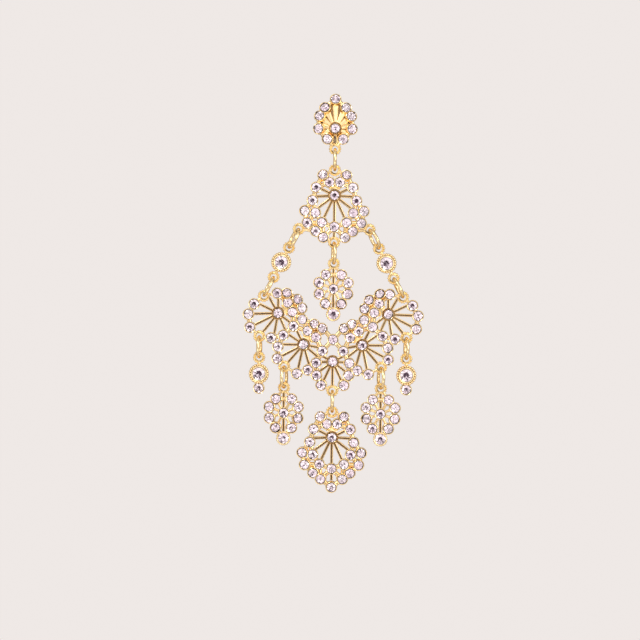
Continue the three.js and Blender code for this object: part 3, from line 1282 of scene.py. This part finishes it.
@dataclass
class LeafDrop(Casting):
    """A leaf drop: a ring of cups round a middle one, a larger cup at its tip, and a loop."""

    ring: tuple[Seat, ...] = (
        Seat(1.37, 2.48, 8),
        Seat(2.56, 1.09, 8),
        Seat(2.5, -0.88, 8),
        Seat(1.4, -2.6, 8),
    )
    tip: Seat = Seat(0, -4.4)
    loop: Seat = Seat(0, 4.45)

    def build(self) -> list[Object]:
        """Puts the drop together below its loop.

        Returns:
            The drop's pieces.
        """
        ring = both_sides(self.ring)
        self.set_cup(Setting.SMALL, HUB)
        self.set_cup(Setting.TIP, self.tip)
        self.set_cups(ring, [HUB])
        self.spread(HUB, [self.tip, self.on_loop(self.loop, HUB)])
        self.lay(self.stock.rib, [(HUB, seat) for seat in ring])
        self.web([*ring, self.tip])
        self.hang_loop(self.loop, ring)
        return self.finish(hung_by_top(self.node, self.loop.y))


@dataclass
class BudDrop(Casting):
    """A bud drop: a big beaded cup between a loop and a small cup."""

    loop: Seat = Seat(0, 2.85)
    tip: Seat = Seat(0, -2.5)

    def build(self) -> list[Object]:
        """Puts the drop together below its loop.

        Returns:
            The drop's pieces.
        """
        self.set_cup(Setting.BIG, HUB)
        self.set_cup(Setting.SMALL, self.tip)
        self.hang_loop(self.loop, [HUB])
        return self.finish(hung_by_top(self.node, self.loop.y))


@dataclass
class Link(Casting):
    """A link: a big beaded cup between two loops, slanting with its chain."""

    reach: float = 2.9
    turn: float = 0.0

    def build(self) -> list[Object]:
        """Puts the link together in the middle of its chain.

        Returns:
            The link's pieces.
        """
        self.set_cup(Setting.BIG, HUB)
        for y in (self.reach, -self.reach):
            self.hang_loop(Seat(0, y), [HUB])
        low, high, middle = box_of(self.node)
        return self.finish(Vector((middle, 0, (low.z + high.z) / 2)), self.turn)


# ---- the earring


class Earring:
    """The whole earring, in the order that it hangs."""

    RING_TWIST = 6.0
    LOOSE_TWIST = 13.0

    def __init__(self) -> None:
        """Prepares the stock of masters."""
        self.stock = Stock()

    def chain_turn(self, side: str) -> float:
        """How far one side's chain slants from upright, in radians.

        Args:
            side: "right" or "left".

        Returns:
            The angle, positive where the chain runs down to the right.
        """
        rings = [box_of(f"link_ring_{end}_{side}") for end in ("upper", "lower")]
        upper, lower = ((low + high) / 2 for low, high, _ in rings)
        return math.atan2(lower.x - upper.x, upper.z - lower.z)

    def castings(self) -> list[Casting]:
        """Every casting, from the stud down.

        Returns:
            The castings, not yet built.
        """
        stock = self.stock
        foot, corner = Seat(0, -8.2), Seat(6.2, -5.9)
        found: list[Casting] = [
            Stud("ear_stud", "stud", stock),
            Shield("upper_plate", "main_drop", stock, other_loops=(foot, corner, corner.twin())),
            LeafDrop("inner_drop", "main_drop", stock),
            Crescent("crescent", "main_drop", stock),
        ]
        for side in ("right", "left"):
            turn = self.chain_turn(side)
            found.append(Link(f"link_{side}", "main_drop", stock, turn=turn))
            found.append(BudDrop(f"bud_drop_{side}", "main_drop", stock))
            found.append(LeafDrop(f"leaf_drop_{side}", "main_drop", stock))
        found.append(Shield("pendant", "pendant", stock, foot_seats=(Seat(0, -8.75, 12),)))
        return found

    def rings(self) -> list[JumpRing]:
        """Every jump ring, from the stud down.

        Returns:
            The rings, not yet built.
        """
        small, loose = self.RING_TWIST, self.LOOSE_TWIST
        found = [
            JumpRing("stud_ring", "top_ring"),
            JumpRing("inner_drop_ring", "main_drop", twist=small),
            JumpRing("pendant_ring", "pendant"),
        ]
        for side, mirror in (("right", 1), ("left", -1)):
            turn = self.chain_turn(side)
            found += [
                JumpRing(f"link_ring_upper_{side}", "main_drop", twist=loose, turn=turn),
                JumpRing(f"link_ring_lower_{side}", "main_drop", twist=small, turn=turn),
                JumpRing(f"bud_ring_{side}", "main_drop", twist=mirror * small),
                JumpRing(f"leaf_ring_{side}", "main_drop", twist=mirror * loose),
            ]
        return found

    def build(self) -> None:
        """Builds every casting and ring, and reports each piece."""
        for part in [*self.castings(), *self.rings()]:
            for piece in part.build():
                log.info("%s: %d faces", piece.name, len(piece.data.polygons))
        self.stock.put_away()


# ---- the studio


# The room's light from behind the earring (0) to the side it faces (1), dark where the camera is.
ROOM_TONES: tuple[tuple[float, Colour], ...] = (
    (0.0, (0.5, 0.45, 0.42, 1.0)),
    (0.36, (0.42, 0.37, 0.32, 1.0)),
    (0.52, (0.6, 0.55, 0.5, 1.0)),
    (0.66, (0.98, 0.93, 0.87, 1.0)),
    (0.88, (1.1, 1.06, 1.02, 1.0)),
    (0.96, (1.25, 1.2, 1.2, 1.0)),
    (0.98, (1.25, 1.19, 1.21, 1.0)),
    (0.988, (0.09, 0.06, 0.08, 1.0)),
)


@dataclass(frozen=True)
class Lamp:
    """A soft box: where it hangs, its width in metres and its power in watts."""

    name: str
    spot: Point3
    size: float
    power: float


@dataclass(frozen=True)
class Studio:
    """A pale room round the earring: floor, soft lights and a camera in front."""

    eye: Point3 = (-0.0023, -0.374, -0.0335)
    lens: float = 120.0
    roll: float = -0.65
    middle: Point3 = (0.0, 0.0, -0.03)
    lamps: tuple[Lamp, ...] = (
        Lamp("key_light", (-0.28, -0.36, 0.34), 0.15, 0.5),
        Lamp("fill_light", (0.4, -0.3, 0.08), 0.26, 0.5),
        Lamp("low_light", (-0.1, -0.4, -0.34), 0.2, 0.25),
    )
    lamp_tint: Point3 = (1.0, 0.965, 0.93)
    backdrop: Colour = (0.862, 0.812, 0.79, 1.0)
    bright_side: Point3 = (-0.1, -0.98, -0.15)
    rise: Point = (0.7, 1.2)
    patches: Point = (0.5, 1.3)
    clutter_scale: float = 3.2
    clutter_span: Point = (0.4, 0.56)
    floor_height: float = -0.12
    floor_radius: float = 0.16
    floor_rim: float = 0.04
    floor_fade: Point = (0.072, 0.1568)

    def camera(self) -> None:
        """Sets up the camera, level with the crescent and looking along +Y."""
        data = bpy.data.cameras.new("studio_camera")
        data.lens = self.lens
        data.clip_start, data.clip_end = 0.01, 10.0
        camera = bpy.data.objects.new("studio_camera", data)
        camera.location = self.eye
        camera.rotation_euler = (math.pi / 2, math.radians(self.roll), 0)
        bpy.context.scene.collection.objects.link(camera)
        bpy.context.scene.camera = camera

    def lights(self) -> None:
        """Hangs the soft boxes, all aimed at the middle of the earring."""
        for lamp in self.lamps:
            data = bpy.data.lights.new(lamp.name, "AREA")
            data.size, data.energy, data.color = lamp.size, lamp.power, self.lamp_tint
            box = bpy.data.objects.new(lamp.name, data)
            box.location = lamp.spot
            aim = Vector(self.middle) - Vector(lamp.spot)
            box.rotation_euler = aim.to_track_quat("-Z", "Y").to_euler()
            bpy.context.scene.collection.objects.link(box)

    def room(self) -> None:
        """Lights the room: bright round the camera, dim at the sides, and a pale backdrop."""
        world = bpy.data.worlds.new("studio_room")
        world.use_nodes = True
        bpy.context.scene.world = world
        wire = Wiring(world.node_tree)
        wire.tree.nodes.clear()
        way = wire.place("Generated")
        split = wire.add("ShaderNodeSeparateXYZ", {"Vector": way})
        aim = Vector(self.bright_side).normalized()
        facing = wire.add("ShaderNodeVectorMath", {0: way, 1: aim}, operation="DOT_PRODUCT")
        front = wire.remap(facing.outputs["Value"], (-1.0, 1.0))
        ramp = wire.add("ShaderNodeValToRGB", {"Fac": front.outputs["Result"]})
        first, last = ramp.color_ramp.elements
        (_, first.color), *between, (last.position, last.color) = ROOM_TONES
        for at, colour in between:
            ramp.color_ramp.elements.new(at).color = colour
        rise = wire.remap(split.outputs["Z"], (-1.0, 1.0), self.rise)
        clutter = wire.add(
            "ShaderNodeTexNoise", {"Vector": way, "Scale": self.clutter_scale, "Detail": 1.0}
        )
        patches = wire.remap(clutter.outputs["Fac"], self.clutter_span, self.patches)
        powers = {0: rise.outputs["Result"], 1: patches.outputs["Result"]}
        power = wire.add("ShaderNodeMath", powers, operation="MULTIPLY").outputs["Value"]
        room = wire.add("ShaderNodeBackground", {"Color": ramp.outputs["Color"], "Strength": power})
        wall = wire.add("ShaderNodeBackground", {"Color": self.backdrop})
        seen = wire.add("ShaderNodeLightPath").outputs["Is Camera Ray"]
        both = {"Fac": seen, 1: room.outputs["Background"], 2: wall.outputs["Background"]}
        mix = wire.add("ShaderNodeMixShader", both)
        wire.add("ShaderNodeOutputWorld", {"Surface": mix.outputs["Shader"]})

    def floor(self) -> None:
        """Lays a pale round floor below the earring, fading out at its edge."""
        floor = Bench.start(
            "circle",
            vertices=96,
            radius=self.floor_radius,
            fill_type="NGON",
            location=(0, 0, self.floor_height),
        )
        floor.name = "studio_floor"
        Bench.edit(True)
        bpy.ops.mesh.select_all(action="SELECT")
        bpy.ops.mesh.inset(thickness=self.floor_rim)
        Bench.edit(False)
        Bench.settle()
        made = bpy.data.materials.new("pale_floor")
        made.use_nodes = True
        wire = Wiring(made.node_tree)
        flat = wire.add(
            "ShaderNodeVectorMath", {0: wire.place(), 1: (1, 1, 0)}, operation="MULTIPLY"
        )
        away = wire.add("ShaderNodeVectorMath", {0: flat.outputs["Vector"]}, operation="LENGTH")
        fade = wire.remap(away.outputs["Value"], self.floor_fade, (1.0, 0.0))
        fade.interpolation_type = "SMOOTHSTEP"
        wire.feed(
            made.node_tree.nodes["Principled BSDF"],
            {"Base Color": self.backdrop, "Roughness": 0.9, "Alpha": fade.outputs["Result"]},
        )
        floor.data.materials.append(made)

    def build(self) -> None:
        """Sets up the whole studio."""
        scene = bpy.context.scene
        scene.view_settings.view_transform = "Standard"
        self.camera()
        self.lights()
        self.room()
        self.floor()


def record_sizes() -> None:
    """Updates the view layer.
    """
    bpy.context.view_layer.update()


def main() -> None:
    """Builds the earring and its studio, and reports each piece."""
    logging.basicConfig(level=logging.INFO, format="%(name)s %(message)s")
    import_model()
    Earring().build()
    Studio().build()
    bpy.context.view_layer.update()
    record_sizes()
    log.info("done")


if __name__ == "__main__":
    main()
